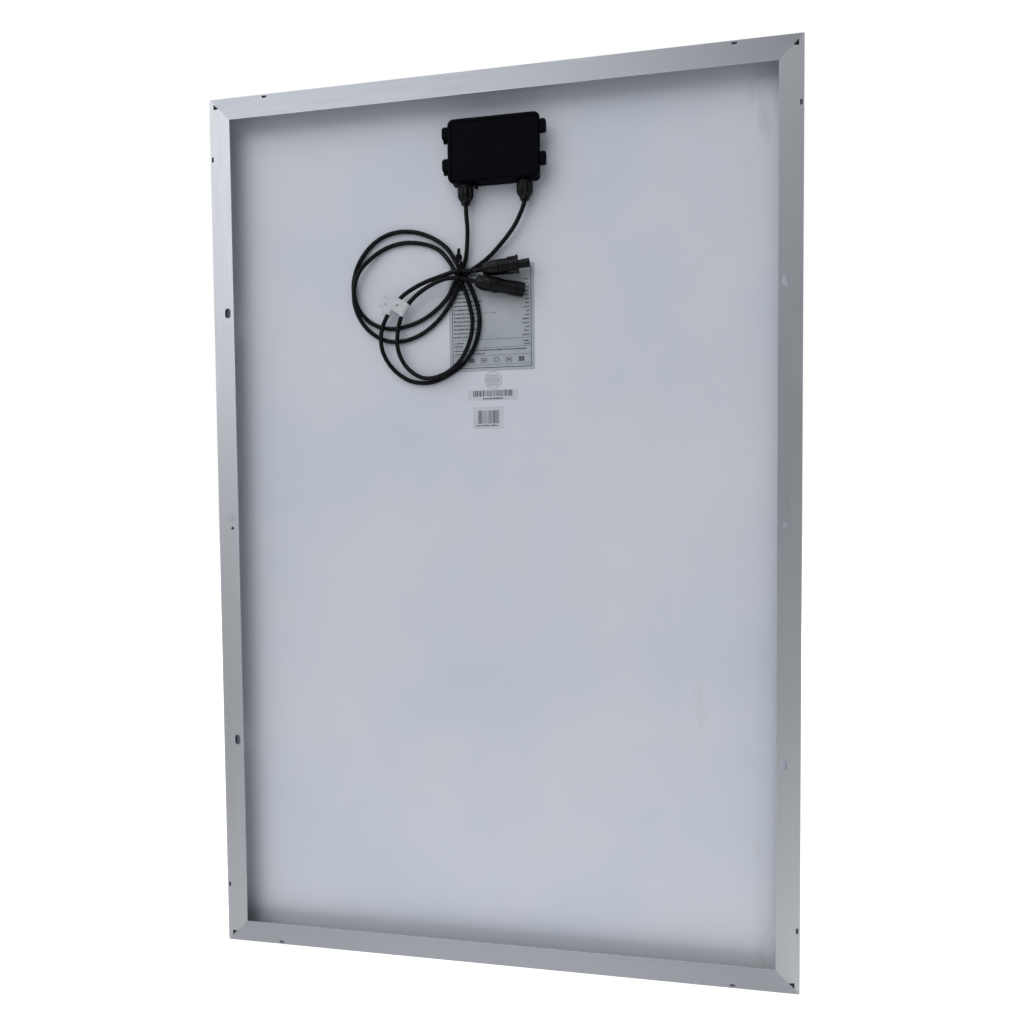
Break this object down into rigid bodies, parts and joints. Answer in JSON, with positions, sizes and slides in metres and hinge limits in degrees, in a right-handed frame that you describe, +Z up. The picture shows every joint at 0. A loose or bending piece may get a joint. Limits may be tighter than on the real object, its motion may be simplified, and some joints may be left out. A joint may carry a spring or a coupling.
{
  "type": "solar panel",
  "caption": "Framed photovoltaic module with a glass front, a recessed rear sheet, a junction box and tied output cables with connectors.",
  "frame": {"origin": "centre of the bottom edge, halfway through the frame's depth", "axes": "+Z up along the long side, -Y out of the back, +Y out of the glass, +X to the right seen from behind"},
  "size_m": [0.67, 0.03, 1.02],
  "materials": {
    "anodised_aluminium": "clear satin anodising",
    "tinned_copper": "bright tinned strip",
    "silicone": "white silicone bead",
    "front_glass": "tempered, low-iron, finely textured",
    "encapsulant": "clear laminated film",
    "solar_cells": "blue polycrystalline silicon with silver grid",
    "backsheet": "white fluoropolymer film, satin",
    "black_polymer": "moulded black, fine texture",
    "seal_rubber": "moulded",
    "diode_epoxy": "moulded epoxy",
    "cable_jacket": "extruded, satin",
    "tie_nylon": "black nylon",
    "clear_film": "white and clear printed film",
    "silver_label": "silver polyester film",
    "white_label": "white paper"
  },
  "bodies": {
    "module": {"backsheet": "backsheet", "barcode_label_long": "white_label", "barcode_label_small": "white_label", "box_adhesive": "silicone", "bus_ribbon_bottom_left": "tinned_copper", "bus_ribbon_bottom_right": "tinned_copper", "bus_ribbon_left": "tinned_copper", "bus_ribbon_middle": "tinned_copper", "bus_ribbon_right": "tinned_copper", "bypass_diode_1": "diode_epoxy", "bypass_diode_2": "diode_epoxy", "cable_left": "cable_jacket", "cable_right": "cable_jacket", "cable_tag_left": "clear_film", "cable_tag_right": "clear_film", "cable_tie": "tie_nylon", "cell_string_1": "solar_cells", "cell_string_2": "solar_cells", "cell_string_3": "solar_cells", "cell_string_4": "solar_cells", "connector_plug_body": "black_polymer", "connector_plug_contact": "tinned_copper", "connector_socket_body": "black_polymer", "connector_socket_contact": "tinned_copper", "corner_key_bottom_left": "anodised_aluminium", "corner_key_bottom_right": "anodised_aluminium", "corner_key_top_left": "anodised_aluminium", "corner_key_top_right": "anodised_aluminium", "edge_sealant": "silicone", "frame_bottom": "anodised_aluminium", "frame_left": "anodised_aluminium", "frame_right": "anodised_aluminium", "frame_top": "anodised_aluminium", "front_encapsulant": "encapsulant", "front_glass": "front_glass", "gland_seal_left": "seal_rubber", "gland_seal_right": "seal_rubber", "inspection_sticker": "clear_film", "junction_box_base": "black_polymer", "rating_label": "silver_label", "rear_encapsulant": "encapsulant", "terminal_left": "tinned_copper", "terminal_middle": "tinned_copper", "terminal_right": "tinned_copper"},
    "lid": {"junction_box_lid": "black_polymer", "lid_seal": "seal_rubber"},
    "gland_nut_left": {"gland_nut_left": "black_polymer"},
    "gland_nut_right": {"gland_nut_right": "black_polymer"},
    "connector_socket_nut": {"connector_socket_nut": "black_polymer"},
    "connector_plug_nut": {"connector_plug_nut": "black_polymer"}
  },
  "joints": [
    {"name": "lid_hinge", "type": "hinge", "parent": "module", "child": "lid", "pos_m": [-0.0495, -0.0059, 0.9345], "axis": [0, 0, -1], "range_deg": [0, 110]},
    {"name": "gland_nut_left_turn", "type": "hinge", "parent": "module", "child": "gland_nut_left", "pos_m": [-0.0274, -0.0017, 0.887], "axis": [0, 0, -1], "continuous": true},
    {"name": "gland_nut_right_turn", "type": "hinge", "parent": "module", "child": "gland_nut_right", "pos_m": [0.0405, -0.0017, 0.887], "axis": [0, 0, -1], "continuous": true},
    {"name": "connector_socket_nut_turn", "type": "hinge", "parent": "module", "child": "connector_socket_nut", "pos_m": [-0.0084, -0.0054, 0.8026], "axis": [0.9964, 0.011, 0.0846], "continuous": true},
    {"name": "connector_plug_nut_turn", "type": "hinge", "parent": "module", "child": "connector_plug_nut", "pos_m": [-0.016, -0.0056, 0.7896], "axis": [0.9739, 0.0885, -0.2089], "continuous": true}
  ]
}
